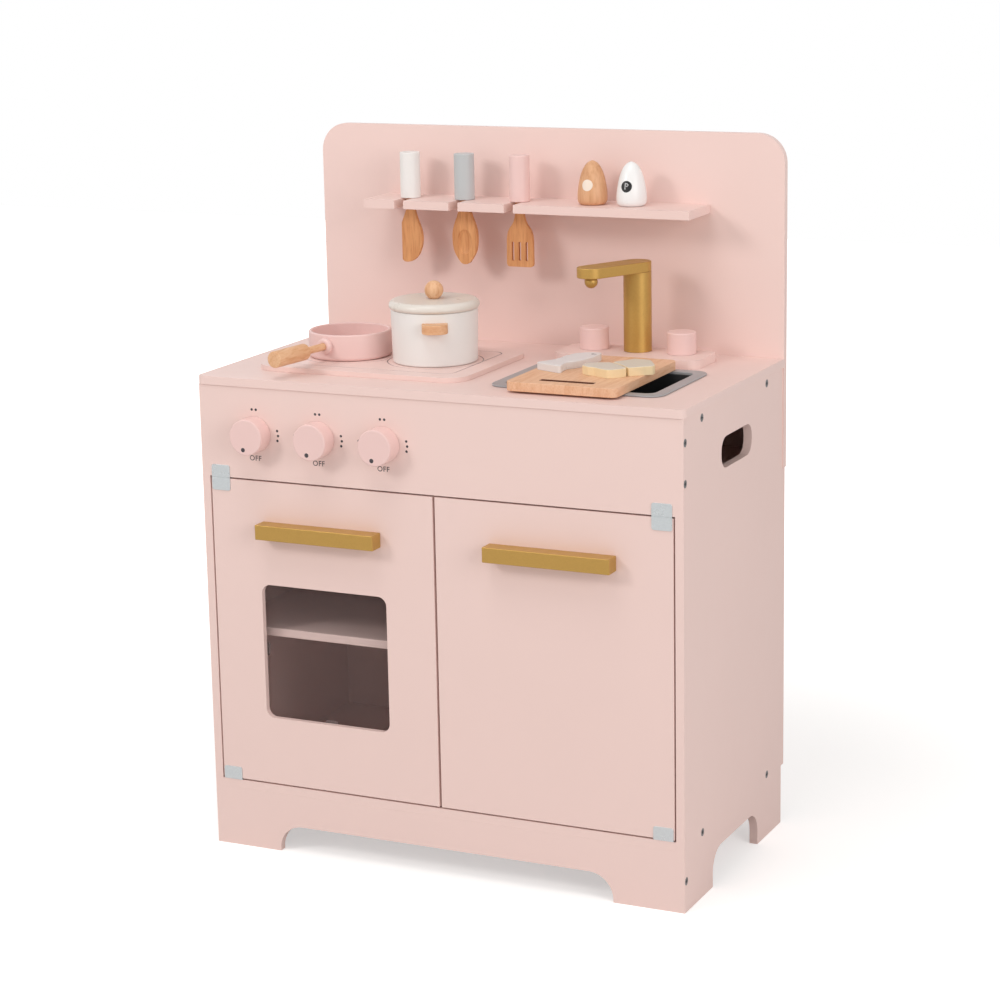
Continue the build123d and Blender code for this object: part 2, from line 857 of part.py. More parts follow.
def blade(x, face):
    """A flat blade hanging from its neck, which passes through the notch."""
    neck = block(x - blade_neck / 2, x + blade_neck / 2, utensil_y - blade_thickness / 2,
                 utensil_y + blade_thickness / 2, blade_top - 3.0, shelf_rest + blade_tenon)
    back = front_plane(x, utensil_y + blade_thickness / 2, 0) * face
    return neck + extrude(back, blade_thickness, dir=(0, -1, 0))


def raised(points):
    """Outline points given as offset and height above the blades' lowest edge."""
    return [(w, blade_bottom + z) for w, z in points]


def mirrored_points(points):
    return [(-w, z) for w, z in points]


def spatula_blade():
    """A knife-like spatula: straight at the left, curved at the right."""
    straight = raised([(-9.5, 0), (-12.2, 2.5), (-12.2, 47)]) + [(-5.9, blade_top)]
    curved = raised([(-9.5, 0), (1, 1), (8, 6.5), (13.4, 17), (15.2, 28), (14.2, 38), (10.6, 48)])
    curved = curved + [(5.9, blade_top)]
    face = make_face([Polyline(*straight), Spline(*curved), Line(curved[-1], straight[-1])])
    return blade(notch_places()[0], face)


def spoon_blade():
    """A spoon that widens from its neck, with an oval hollow in its bowl."""
    x = notch_places()[1]
    side = raised([(0, 0), (8.5, 5.5), (14.2, 15.5), (16.4, 29), (16.2, 38), (14, 47), (11, 55)])
    side = side + [(8.2, blade_top)]
    other = mirrored_points(side)
    face = make_face([Spline(*side, tangents=[(1, 0), (-0.3, 1)]), Line(side[-1], other[-1]),
                      Spline(*other, tangents=[(-1, 0), (0.3, 1)])])
    spoon = blade(x, face)
    hollow = Pos(x, utensil_y - blade_thickness / 2, blade_bottom + spoon_hollow_height) * scale(
        Sphere(1.0), by=(9.5, 2.5, 15.0))
    return spoon - hollow


def turner_blade():
    """A turner with sloping shoulders, straight sides and three slots."""
    x = notch_places()[2]
    shoulder = [(5.6, blade_top)] + raised([(6.8, 57), (9.6, 50.5), (13.6, 45), (16.2, 37.5), (16.9, 28)])
    foot = [shoulder[-1]] + raised([(17.2, 3.5), (16.2, 1), (14, 0)])
    other_shoulder = mirrored_points(shoulder)
    other_foot = mirrored_points(foot)
    face = make_face([Spline(*shoulder), Polyline(*foot), Line(foot[-1], other_foot[-1]),
                      Polyline(*other_foot), Spline(*other_shoulder),
                      Line(shoulder[0], other_shoulder[0])])
    body = blade(x, face)
    for index in (-1, 0, 1):
        centre = x + index * turner_slot_pitch
        slot = upright_slab(centre, blade_bottom + turner_slot_height, utensil_y - blade_thickness / 2,
                            turner_slot_width, turner_slot_length, blade_thickness,
                            turner_slot_width / 2 - 0.05)
        body = body - slot
    return body


# Shakers
def shaker(x):
    """An egg shape that stands on a flat base and is widest low down."""
    points = [(r, 0, z) for r, z in shaker_side]
    side = Spline(*points)
    base = Line((0, 0, 0), points[0])
    axis = Line(points[-1], (0, 0, 0))
    return Pos(x, shaker_y, shelf_rest) * revolve(make_face([base, side, axis]), Axis.Z)


def build():
    right = side_panel()
    left = mirrored(right)
    save("side_panel_right", right)
    save("side_panel_left", without_pins(left))
    save("worktop", worktop())
    save("back_splash", back_splash())
    save("back_panel", back_panel())
    save("bottom_panel", drilled(block(-inner_x, inner_x, 0, cabinet_depth, plinth_height,
                                       bottom_panel_top)))
    save("front_plinth", front_plinth())
    save("control_panel", control_panel())
    save("middle_panel", block(-inner_x, inner_x, board, cabinet_depth, middle_panel_bottom,
                               middle_panel_bottom + board))
    save("centre_divider", without_pins(block(-board / 2, board / 2, divider_front, cabinet_depth,
                                              bottom_panel_top, middle_panel_bottom)))
    save("oven_shelf", oven_shelf())
    save("shelf_pins", Compound(children=shelf_pins()))
    save("corner_blocks", corner_blocks())
    save("magnetic_catches", Compound(children=[magnetic_catch(-1), magnetic_catch(1)]))
    save("wall_shelf", wall_shelf())
    save("hob_plate", hob_plate())
    save("tap_base", tap_base())
    save("cabinet_screws", Compound(children=[frame * screw() for frame in screw_frames()]))
    save("fixed_hinge_plates", fixed_hinge_plates())

    top, bottom = door_hinge_plates()
    save("oven_door_panel", oven_door_panel())
    save("oven_window", oven_window())
    save("window_clips", window_clips())
    save("oven_handle", mirrored(door_handle()))
    save("oven_hinge_plates", Compound(children=[mirrored(top), mirrored(bottom)]))
    save("oven_strike_plate", strike_plate(-1))
    save("cupboard_door_panel", door_blank())
    save("cupboard_handle", door_handle())
    save("cupboard_hinge_plates", Compound(children=[top, bottom]))
    save("cupboard_strike_plate", strike_plate(1))

    for name, x in zip(("left", "middle", "right"), knob_places()):
        save(f"knob_{name}", knob(x))
        save(f"knob_spindle_{name}", knob_spindle(x))

    save("tap_column", tap_column())
    save("tap_arm", tap_arm())
    save("tap_nozzle", tap_nozzle())
    save("tap_pivot", tap_pivot())
    save("tap_handle_left", tap_handle(tap_places()[0]))
    save("tap_handle_right", tap_handle(tap_places()[2]))

    save("sink_bowl", sink_bowl())
    save("chopping_board", chopping_board())
    save("toy_fish", toy_fish())
    save("toast_left", toast_left())
    save("toast_right", toast_right())
    save("pot_body", pot_body())
    save("pot_handles", pot_handles())
    save("pot_lid", pot_lid())
    save("lid_knob", lid_knob())
    save("pan_body", pan_body())
    save("pan_handle", pan_handle())

    for name, x in zip(("spatula", "spoon", "turner"), notch_places()):
        save(f"{name}_handle", utensil_handle(x))
    save("spatula_blade", spatula_blade())
    save("spoon_blade", spoon_blade())
    save("turner_blade", turner_blade())
    save("shaker_beech", shaker(shaker_beech_x))
    save("shaker_white", shaker(shaker_white_x))


build()
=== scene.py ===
"""Play kitchen: the finishes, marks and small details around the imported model, with its stage and camera."""

import math

import bmesh
import bpy
from mathutils import Matrix, Vector
from mathutils.bvhtree import BVHTree


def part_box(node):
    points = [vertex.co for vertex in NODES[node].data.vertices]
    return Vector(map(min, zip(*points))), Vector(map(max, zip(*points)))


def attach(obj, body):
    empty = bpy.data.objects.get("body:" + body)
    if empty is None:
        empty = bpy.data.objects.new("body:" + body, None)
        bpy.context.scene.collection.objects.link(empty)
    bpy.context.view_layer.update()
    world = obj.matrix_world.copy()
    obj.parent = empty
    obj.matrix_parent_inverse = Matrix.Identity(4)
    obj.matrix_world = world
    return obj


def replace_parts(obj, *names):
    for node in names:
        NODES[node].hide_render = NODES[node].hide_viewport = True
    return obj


bl_info = {
    "name": "Play kitchen looks",
    "version": (1, 0, 0),
    "blender": (4, 5, 0),
    "location": "View3D > Sidebar > Kitchen",
    "description": "Painted boards, marks, cookware finishes and stage for the play kitchen",
    "category": "Object",
}

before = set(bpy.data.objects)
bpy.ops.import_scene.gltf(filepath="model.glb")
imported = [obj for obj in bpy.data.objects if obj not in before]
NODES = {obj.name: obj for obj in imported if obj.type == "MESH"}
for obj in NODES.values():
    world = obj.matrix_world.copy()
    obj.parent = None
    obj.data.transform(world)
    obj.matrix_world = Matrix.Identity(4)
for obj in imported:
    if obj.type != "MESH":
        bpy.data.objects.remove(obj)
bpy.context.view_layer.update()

FRONT_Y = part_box("control_panel")[0].y
KNOB_NAMES = ("knob_left", "knob_middle", "knob_right")

# Places of the marks, across and up from the middle of their knob
POINTER_PLACE = (-0.0032, -0.0145)
DOT_PLACES = ((-0.0027, 0.0288), (0.0027, 0.0288), (0.0298, 0.0058), (0.0308, 0.0), (0.0298, -0.0058),
              (-0.0305, 0.002))
WORD_PLACE = (0.0, -0.0285)

COOKWARE_WALL = 0.004


def centre(node):
    """The middle of a CAD node's box."""
    low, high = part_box(node)
    return (low + high) / 2


def srgb(red, green, blue):
    """A colour given as it shows on screen, from 0 to 255, as Blender's linear values."""
    linear = []
    for part in (red, green, blue):
        share = part / 255
        linear.append(share / 12.92 if share <= 0.04045 else ((share + 0.055) / 1.055) ** 2.4)
    return tuple(linear)


def size_property(label, text, default):
    """A small length that can be set in the panel."""
    return bpy.props.FloatProperty(
        name=label, description=text, default=default, min=0.0, max=0.1, precision=5, unit="LENGTH")


def colour_property(label, text, shown):
    """A colour that can be set in the panel."""
    return bpy.props.FloatVectorProperty(
        name=label, description=text, subtype="COLOR", size=3, min=0.0, max=1.0, default=srgb(*shown))


class KitchenSizes(bpy.types.PropertyGroup):
    board_edge: size_property("Board edge", "Rounding of the painted boards' edges", 0.0011)
    wood_edge: size_property("Wood edge", "Rounding of the bare wooden pieces' edges", 0.0009)
    plate_edge: size_property("Plate edge", "Rounding of the thin metal plates' edges", 0.0004)
    print_lift: size_property("Print thickness", "How far printed marks stand off the paint", 0.00006)
    dial_dot: size_property("Dial dot", "Radius of the dots around the knobs", 0.00155)
    knob_dot: size_property("Knob dot", "Radius of the pointer dot on each knob", 0.0026)
    word_height: size_property("Word height", "Height of the word under each knob", 0.0062)
    badge_radius: size_property("Badge radius", "Radius of the round mark on each shaker", 0.0066)


class KitchenColours(bpy.types.PropertyGroup):
    pink: colour_property("Pink paint", "Paint of the boards and doors", (236, 208, 201))
    deep_pink: colour_property("Deep pink", "Paint of the turned pink pieces", (235, 201, 196))
    gold: colour_property("Gold paint", "Paint of the tap and the door handles", (192, 152, 80))
    zinc: colour_property("Zinc", "Plating of the hinge plates", (222, 228, 231))
    steel: colour_property("Steel", "Screws, pins and spindles", (150, 150, 152))
    beech_light: colour_property("Beech, light", "Light bands of the beech", (232, 186, 146))
    beech_dark: colour_property("Beech, dark", "Dark lines of the beech", (214, 158, 114))
    white: colour_property("White paint", "The pot and the spatula's handle", (236, 233, 230))
    grey: colour_property("Grey paint", "The spoon's handle", (190, 193, 194))
    stone: colour_property("Stone paint", "The pot's lid", (224, 216, 207))
    cream: colour_property("Cream paint", "Sides of the toast", (240, 216, 172))
    print_dark: colour_property("Print", "Dots and words on the control panel", (66, 62, 66))


def sizes():
    """The sizes as they are set in the panel."""
    return bpy.context.scene.kitchen_sizes


def colours():
    """The colours as they are set in the panel."""
    return bpy.context.scene.kitchen_colours


# Node groups that several finishes share


FINISH_OUTPUTS = (("NodeSocketColor", "Colour"), ("NodeSocketFloat", "Roughness"),
                  ("NodeSocketFloat", "Height"))


def new_group(name, inputs):
    """An empty shader group with its sockets, and the two ends inside it."""
    group = bpy.data.node_groups.new(name, "ShaderNodeTree")
    for kind, label, value in inputs:
        socket = group.interface.new_socket(name=label, in_out="INPUT", socket_type=kind)
        socket.default_value = value
    for kind, label in FINISH_OUTPUTS:
        group.interface.new_socket(name=label, in_out="OUTPUT", socket_type=kind)
    return group, group.nodes.new("NodeGroupInput"), group.nodes.new("NodeGroupOutput")


def maths(tree, operation, first, second=None, third=None, clamp=False):
    """A Math node on sockets or numbers, giving its output."""
    node = tree.nodes.new("ShaderNodeMath")
    node.operation = operation
    node.use_clamp = clamp
    for index, value in enumerate((first, second, third)):
        if value is None:
            continue
        if isinstance(value, bpy.types.NodeSocket):
            tree.links.new(value, node.inputs[index])
        else:
            node.inputs[index].default_value = value
    return node.outputs[0]


def mixed(tree, share, first, second):
    """A colour Mix node, giving its output."""
    node = tree.nodes.new("ShaderNodeMix")
    node.data_type = "RGBA"
    for index, value in ((0, share), (6, first), (7, second)):
        if isinstance(value, bpy.types.NodeSocket):
            tree.links.new(value, node.inputs[index])
        elif index == 0:
            node.inputs[index].default_value = value
        else:
            node.inputs[index].default_value = (*value[:3], 1)
    return node.outputs[2]


def ranged(tree, value, low, high, to_low, to_high):
    """A Map Range node, giving its output."""
    node = tree.nodes.new("ShaderNodeMapRange")
    node.interpolation_type = "SMOOTHSTEP"
    for index, number in enumerate((low, high, to_low, to_high), start=1):
        node.inputs[index].default_value = number
    tree.links.new(value, node.inputs[0])
    return node.outputs[0]


def object_axes(tree):
    """Object coordinates as three outputs, X, Y and Z."""
    place = tree.nodes.new("ShaderNodeTexCoord")
    axes = tree.nodes.new("ShaderNodeSeparateXYZ")
    tree.links.new(place.outputs["Object"], axes.inputs[0])
    return axes.outputs


def stretched_place(tree, stretch):
    """Object coordinates multiplied by a stretch along each axis."""
    place = tree.nodes.new("ShaderNodeTexCoord")
    stretched = tree.nodes.new("ShaderNodeVectorMath")
    stretched.operation = "MULTIPLY"
    tree.links.new(place.outputs["Object"], stretched.inputs[0])
    tree.links.new(stretch, stretched.inputs[1])
    return stretched.outputs[0]


def shaded(tree, colour, level):
    """A colour made lighter or darker by a level around 1."""
    scaled = tree.nodes.new("ShaderNodeVectorMath")
    scaled.operation = "SCALE"
    tree.links.new(colour, scaled.inputs[0])
    tree.links.new(level, scaled.inputs["Scale"])
    return scaled.outputs[0]


def uneven(tree, noise, amount, gloss):
    """A gloss that wanders up and down with a noise."""
    drift = maths(tree, "SUBTRACT", noise.outputs["Fac"], 0.5)
    drift = maths(tree, "MULTIPLY", drift, amount)
    return maths(tree, "ADD", drift, gloss, clamp=True)


def distance(tree, across, along):
    """How far a point is from the middle, from its two coordinates."""
    squares = [maths(tree, "POWER", value, 2.0) for value in (across, along)]
    return maths(tree, "SQRT", maths(tree, "ADD", *squares))


def put_out(group, end, colour, roughness, height):
    """Join what a finish group has worked out to its three outputs."""
    group.links.new(colour, end.inputs["Colour"])
    group.links.new(roughness, end.inputs["Roughness"])
    group.links.new(height, end.inputs["Height"])


def place_texture(tree, kind, scale, vector=None, **values):
    """A texture node, over object coordinates unless another vector is given."""
    node = tree.nodes.new(kind)
    if vector is None:
        vector = tree.nodes.new("ShaderNodeTexCoord").outputs["Object"]
    tree.links.new(vector, node.inputs["Vector"])
    if isinstance(scale, bpy.types.NodeSocket):
        tree.links.new(scale, node.inputs["Scale"])
    else:
        node.inputs["Scale"].default_value = scale
    for key, value in values.items():
        node.inputs[key.replace("_", " ").title()].default_value = value
    return node


def make_sprayed_paint():
    """Satin paint: a fine roller texture, faint clouds of tone and uneven gloss."""
    group, start, end = new_group(
        "sprayed_paint",
        [("NodeSocketColor", "Paint", (1, 1, 1, 1)), ("NodeSocketFloat", "Gloss", 0.45),
         ("NodeSocketFloat", "Grain Size", 900.0), ("NodeSocketFloat", "Clouds", 0.02)])
    clouds = place_texture(group, "ShaderNodeTexNoise", 7.0, detail=3.0)
    fine = place_texture(group, "ShaderNodeTexNoise", start.outputs["Grain Size"], detail=2.0)
    smears = place_texture(group, "ShaderNodeTexNoise", 38.0, detail=4.0)
    tone = maths(group, "SUBTRACT", clouds.outputs["Fac"], 0.5)
    tone = maths(group, "MULTIPLY", tone, start.outputs["Clouds"])
    colour = shaded(group, start.outputs["Paint"], maths(group, "ADD", tone, 1.0))
    gloss = uneven(group, smears, 0.16, start.outputs["Gloss"])
    put_out(group, end, colour, gloss, fine.outputs["Fac"])
    return group


def make_wood_grain():
    """Beech: long wavy bands, short dark pores and a soft change of tone from band to band."""
    group, start, end = new_group(
        "wood_grain",
        [("NodeSocketColor", "Light", (1, 1, 1, 1)), ("NodeSocketColor", "Dark", (0.5, 0.3, 0.1, 1)),
         ("NodeSocketVector", "Stretch", (1, 1, 1)), ("NodeSocketFloat", "Pores", 0.5)])
    along = stretched_place(group, start.outputs["Stretch"])
    bands = place_texture(group, "ShaderNodeTexNoise", 1.0, along, detail=2.0, distortion=0.6)
    lines = place_texture(group, "ShaderNodeTexNoise", 4.5, along, detail=4.0, distortion=0.3)
    pores = place_texture(group, "ShaderNodeTexNoise", 16.0, along, detail=2.0)
    tone = ranged(group, bands.outputs["Fac"], 0.32, 0.68, 0.0, 0.62)
    streak = ranged(group, lines.outputs["Fac"], 0.42, 0.72, 0.0, 0.55)
    pore = ranged(group, pores.outputs["Fac"], 0.60, 0.74, 0.0, 1.0)
    pore = maths(group, "MULTIPLY", pore, start.outputs["Pores"])
    share = maths(group, "ADD", tone, streak, clamp=True)
    colour = mixed(group, share, start.outputs["Light"], start.outputs["Dark"])
    deep = mixed(group, 0.45, colour, (0.18, 0.07, 0.03))
    colour = mixed(group, pore, colour, deep)
    gloss = maths(group, "MULTIPLY_ADD", share, 0.12, 0.42)
    put_out(group, end, colour, gloss, maths(group, "SUBTRACT", share, pore))
    return group


def make_metal_wear():
    """Thin metal: fine brushed lines, cloudy plating and small scuffs in its gloss."""
    group, start, end = new_group(
        "metal_wear",
        [("NodeSocketColor", "Metal", (1, 1, 1, 1)), ("NodeSocketFloat", "Gloss", 0.3),
         ("NodeSocketVector", "Stretch", (1, 1, 1)), ("NodeSocketFloat", "Mottle", 0.1)])
    along = stretched_place(group, start.outputs["Stretch"])
    brushed = place_texture(group, "ShaderNodeTexNoise", 1.0, along, detail=3.0)
    spangle = place_texture(group, "ShaderNodeTexVoronoi", 420.0)
    cloud = place_texture(group, "ShaderNodeTexNoise", 60.0, detail=3.0)
    both = maths(group, "MULTIPLY", spangle.outputs["Distance"], cloud.outputs["Fac"])
    shade = maths(group, "MULTIPLY", both, start.outputs["Mottle"])
    colour = shaded(group, start.outputs["Metal"], maths(group, "SUBTRACT", 1.0, shade))
    gloss = uneven(group, cloud, 0.25, start.outputs["Gloss"])
    put_out(group, end, colour, gloss, brushed.outputs["Fac"])
    return group


def shared_group(name):
    """The named effect, made the first time it is asked for."""
    makers = {"sprayed_paint": make_sprayed_paint, "wood_grain": make_wood_grain,
              "metal_wear": make_metal_wear}
    return bpy.data.node_groups.get(name) or makers[name]()


# Finishes


PAINT_DEPTH = 0.00003


def bare_material(name):
    """A material with only its Principled shader and output, and its tree."""
    material = bpy.data.materials.new(name)
    material.use_nodes = True
    tree = material.node_tree
    shader = tree.nodes["Principled BSDF"]
    return material, tree, shader


def add_effect(tree, name, **values):
    """A shared group placed in a material, with this material's own values."""
    node = tree.nodes.new("ShaderNodeGroup")
    node.node_tree = shared_group(name)
    for key, value in values.items():
        node.inputs[key.replace("_", " ").title()].default_value = value
    return node


def join_effect(tree, shader, effect, depth, colour=None):
    """Feed a shared group's colour, gloss and height to the shader."""
    tree.links.new(colour or effect.outputs["Colour"], shader.inputs["Base Color"])
    tree.links.new(effect.outputs["Roughness"], shader.inputs["Roughness"])
    bump = tree.nodes.new("ShaderNodeBump")
    bump.inputs["Strength"].default_value = 0.5
    bump.inputs["Distance"].default_value = depth
    tree.links.new(effect.outputs["Height"], bump.inputs["Height"])
    tree.links.new(bump.outputs["Normal"], shader.inputs["Normal"])


def paint(name, colour, gloss=0.42, clouds=0.03):
    """Satin paint in one colour."""
    material, tree, shader = bare_material(name)
    effect = add_effect(tree, "sprayed_paint", paint=(*colour, 1), gloss=gloss, clouds=clouds)
    join_effect(tree, shader, effect, PAINT_DEPTH)
    shader.inputs["Specular IOR Level"].default_value = 0.4
    return material


def beech(name, stretch, light=None, dark=None, pores=0.35):
    """Bare beech; stretch is low along the grain and high across it."""
    material, tree, shader = bare_material(name)
    effect = add_effect(tree, "wood_grain", light=(*(light or colours().beech_light), 1),
                        dark=(*(dark or colours().beech_dark), 1), stretch=stretch, pores=pores)
    join_effect(tree, shader, effect, 0.00006)
    shader.inputs["Specular IOR Level"].default_value = 0.35
    return material


def metal(name, colour, gloss, stretch, mottle=0.25, metallic=1.0):
    """Plated, bare or metallic painted metal."""
    material, tree, shader = bare_material(name)
    effect = add_effect(tree, "metal_wear", metal=(*colour, 1), gloss=gloss, stretch=stretch, mottle=mottle)
    join_effect(tree, shader, effect, 0.00002)
    shader.inputs["Metallic"].default_value = metallic
    return material


def finish(obj, material):
    """Give an object this one material in all its slots."""
    if not obj.data.materials:
        obj.data.materials.append(material)
    for holder in obj.material_slots:
        holder.material = material


# Meshes


def ease_edges(obj, width):
    """Round an object's sharp edges and smooth across them."""
    bevel = obj.modifiers.new("edge", "BEVEL")
    bevel.width = width
    bevel.segments = 3
    bevel.limit_method = "ANGLE"
    bevel.angle_limit = math.radians(40)
    bevel.miter_outer = "MITER_ARC"
    bevel.use_clamp_overlap = True
    shade = obj.modifiers.new("shade", "WEIGHTED_NORMAL")
    shade.keep_sharp = False
    shade.weight = 100


def soften(node, width):
    """Round a board's sharp edges with modifiers, on the CAD mesh as it is."""
    obj = NODES[node]
    weld = obj.modifiers.new("weld", "WELD")
    weld.merge_threshold = 0.00001
    flat = obj.modifiers.new("flat_faces", "DECIMATE")
    flat.decimate_type = "DISSOLVE"
    flat.angle_limit = math.radians(0.5)
    ease_edges(obj, width)
    return obj


def mesh_object(name, bm, material, body):
    """A new piece from mesh data, riding on its body."""
    data = bpy.data.meshes.new(name)
    bm.to_mesh(data)
    bm.free()
    obj = bpy.data.objects.new(name, data)
    bpy.context.scene.collection.objects.link(obj)
    obj.data.materials.append(material)
    for face in data.polygons:
        face.use_smooth = True
    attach(obj, body)
    return obj


def print_disc(bm, centre_point, radius, lift, upward=False):
    """A printed dot that faces the front or upward, slightly domed like thick ink."""
    rows = []
    steps = 28
    for ring, rise in ((1.0, 0.0), (0.97, 0.7), (0.7, 1.0)):
        row = []
        for step in range(steps):
            turn = 2 * math.pi * step / steps
            across = math.cos(turn) * radius * ring
            along = math.sin(turn) * radius * ring
            point = Vector((across, along, lift * rise) if upward else (across, -lift * rise, along))
            row.append(bm.verts.new(centre_point + point))
        rows.append(row)
    for outer, inner in zip(rows, rows[1:]):
        for step in range(steps):
            after = (step + 1) % steps
            bm.faces.new((outer[step], outer[after], inner[after], inner[step]))
    bm.faces.new(rows[-1])


def rounded_profile(corners):
    """A half profile of (radius, height, rounding) corners, with an arc at each rounded one."""
    steps = 6
    line = []
    for index, (r, z, rounding) in enumerate(corners):
        here = Vector((r, z))
        if not rounding:
            line.append(here)
            continue
        before = (Vector(corners[index - 1][:2]) - here).normalized()
        after = (Vector(corners[index + 1][:2]) - here).normalized()
        half = before.angle(after) / 2
        reach = rounding / math.tan(half)
        middle = here + (before + after).normalized() * (rounding / math.sin(half))
        first = here + before * reach - middle
        last = here + after * reach - middle
        for step in range(steps + 1):
            share = first.lerp(last, step / steps).normalized() * rounding
            line.append(middle + share)
    return line


def turned_mesh(bm, corners, x, y, steps=128):
    """A turned piece from its half profile, closed where the profile meets the axis."""
    rows = []
    for r, z in rounded_profile(corners):
        if r < 1e-6:
            rows.append([bm.verts.new((x, y, z))] * steps)
            continue
        turns = [2 * math.pi * step / steps for step in range(steps)]
        rows.append([bm.verts.new((x + math.cos(t) * r, y + math.sin(t) * r, z)) for t in turns])
    for lower, upper in zip(rows, rows[1:]):
        for step in range(steps):
            after = (step + 1) % steps
            ring = [lower[step], lower[after], upper[after], upper[step]]
            kept = [v for n, v in enumerate(ring) if v not in ring[:n]]
            if len(kept) > 2:
                bm.faces.new(kept)


def word_mesh(bm, text, height, middle, lift):
    """A word as thin raised ink on a plane that faces the front, centred on a point."""
    curve = bpy.data.curves.new("word", "FONT")
    curve.body = text
    curve.align_x = "CENTER"
    curve.align_y = "CENTER"
    curve.size = height * 1.38
    curve.extrude = lift / 2
    curve.offset = height * 0.012
    curve.space_character = 1.08
    holder = bpy.data.objects.new("word", curve)
    made = bpy.data.meshes.new_from_object(holder)
    made.transform(Matrix.Translation(middle) @ Matrix.Rotation(math.radians(90), 4, "X"))
    bm.from_mesh(made)
    bpy.data.objects.remove(holder)
    bpy.data.curves.remove(curve)
    bpy.data.meshes.remove(made)


def laid_on(bm, node, lift):
    """Move mesh points along Y onto the front of a CAD node, keeping them a little proud of it."""
    source = NODES[node].data
    points = [v.co.copy() for v in source.vertices]
    faces = [tuple(p.vertices) for p in source.polygons]
    tree = BVHTree.FromPolygons(points, faces)
    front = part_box(node)[0].y - 0.01
    for vert in bm.verts:
        hit = tree.ray_cast(Vector((vert.co.x, front, vert.co.z)), Vector((0, 1, 0)))
        if hit[0] is not None:
            vert.co.y = hit[0].y - lift


def round_patch(bm, x, z, radius):
    """A flat patch of rings seen from the front, ready to be laid on a curved piece."""
    rings = 8
    steps = 40
    hub = bm.verts.new((x, 0, z))
    row = [hub] * steps
    for ring in range(1, rings + 1):
        reach = radius * ring / rings
        after = []
        for step in range(steps):
            turn = 2 * math.pi * step / steps
            after.append(bm.verts.new((x + math.cos(turn) * reach, 0, z + math.sin(turn) * reach)))
        for step in range(steps):
            following = (step + 1) % steps
            if ring == 1:
                bm.faces.new((hub, after[following], after[step]))
            else:
                bm.faces.new((row[step], row[following], after[following], after[step]))
        row = after


# The pieces


class KITCHEN_OT_painted_boards(bpy.types.Operator):
    """Pink satin paint and soft edges on the cabinet's boards"""

    bl_idname = "kitchen.painted_boards"
    bl_label = "Painted boards"

    def frame_gap(self, tree, along, across):
        """The distance from the hob's grooved frame, a rectangle with round corners."""
        low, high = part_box("hob_plate")
        inset = 0.0231
        corner = 0.0134
        past = []
        for value, reach in ((along, (high.x - low.x) / 2), (across, (high.y - low.y) / 2)):
            past.append(maths(tree, "SUBTRACT", maths(tree, "ABSOLUTE", value), reach - inset - corner))
        outside = [maths(tree, "MAXIMUM", edge, 0.0) for edge in past]
        round_part = distance(tree, *outside)
        flat_part = maths(tree, "MINIMUM", maths(tree, "MAXIMUM", *past), 0.0)
        return maths(tree, "SUBTRACT", maths(tree, "ADD", round_part, flat_part), corner)

    def groove(self, tree, gap):
        """A thin line, with soft sides, where a distance comes to nought."""
        half_width = 0.0005
        soft_side = 0.0004
        return ranged(tree, maths(tree, "ABSOLUTE", gap), half_width, half_width + soft_side, 1.0, 0.0)

    def hob_finish(self):
        """Pink paint with the hob's grooves picked out in grey: a rounded frame and two burner rings."""
        ring_radius = 0.056
        ring_place = 0.056
        darkness = 0.75
        material, tree, shader = bare_material("hob_paint")
        effect = add_effect(tree, "sprayed_paint", paint=(*colours().pink, 1), gloss=0.4, clouds=0.03)
        axes = object_axes(tree)
        middle = centre("hob_plate")
        along = maths(tree, "SUBTRACT", axes["X"], middle.x)
        across = maths(tree, "SUBTRACT", axes["Y"], middle.y)
        lines = self.groove(tree, self.frame_gap(tree, along, across))
        for side in (-1, 1):
            reach = distance(tree, maths(tree, "SUBTRACT", along, side * ring_place), across)
            ring = self.groove(tree, maths(tree, "SUBTRACT", reach, ring_radius))
            lines = maths(tree, "MAXIMUM", lines, ring)
        share = maths(tree, "MULTIPLY", lines, darkness)
        colour = mixed(tree, share, effect.outputs["Colour"], srgb(122, 112, 118))
        join_effect(tree, shader, effect, PAINT_DEPTH, colour)
        shader.inputs["Specular IOR Level"].default_value = 0.4
        return material

    def execute(self, context):
        pink = paint("pink_board_paint", colours().pink)
        boards = ("side_panel_left", "side_panel_right", "worktop", "back_splash", "back_panel",
                  "bottom_panel", "front_plinth", "control_panel", "middle_panel", "centre_divider",
                  "oven_shelf", "wall_shelf", "tap_base")
        for node in boards:
            finish(soften(node, sizes().board_edge), pink)
        finish(soften("hob_plate", sizes().board_edge), self.hob_finish())
        blocks = beech("pine_blocks", (60, 5, 60), srgb(226, 196, 150), srgb(200, 160, 110))
        finish(soften("corner_blocks", sizes().wood_edge), blocks)
        return {"FINISHED"}


class KITCHEN_OT_doors(bpy.types.Operator):
    """The two doors, the tinted oven window and its clips"""

    bl_idname = "kitchen.doors"
    bl_label = "Doors"

    def tinted_pane(self):
        """Thin clear plastic with a faint brown tint and an uneven gloss."""
        pane, tree, shader = bare_material("tinted_pane")
        shader.inputs["Base Color"].default_value = (*srgb(150, 134, 134), 1)
        shader.inputs["Alpha"].default_value = 0.09
        haze = place_texture(tree, "ShaderNodeTexNoise", 55.0, detail=3.0)
        tree.links.new(ranged(tree, haze.outputs["Fac"], 0.35, 0.7, 0.04, 0.11), shader.inputs["Roughness"])
        return pane

    def execute(self, context):
        pink = paint("pink_door_paint", colours().pink)
        for node in ("oven_door_panel", "cupboard_door_panel"):
            finish(soften(node, sizes().board_edge), pink)
        finish(NODES["oven_window"], self.tinted_pane())
        finish(NODES["window_clips"], paint("clip_paint", srgb(132, 114, 112), gloss=0.5, clouds=0.02))
        plastic = paint("catch_plastic", srgb(232, 232, 230), gloss=0.35, clouds=0.02)
        finish(NODES["magnetic_catches"], plastic)
        return {"FINISHED"}


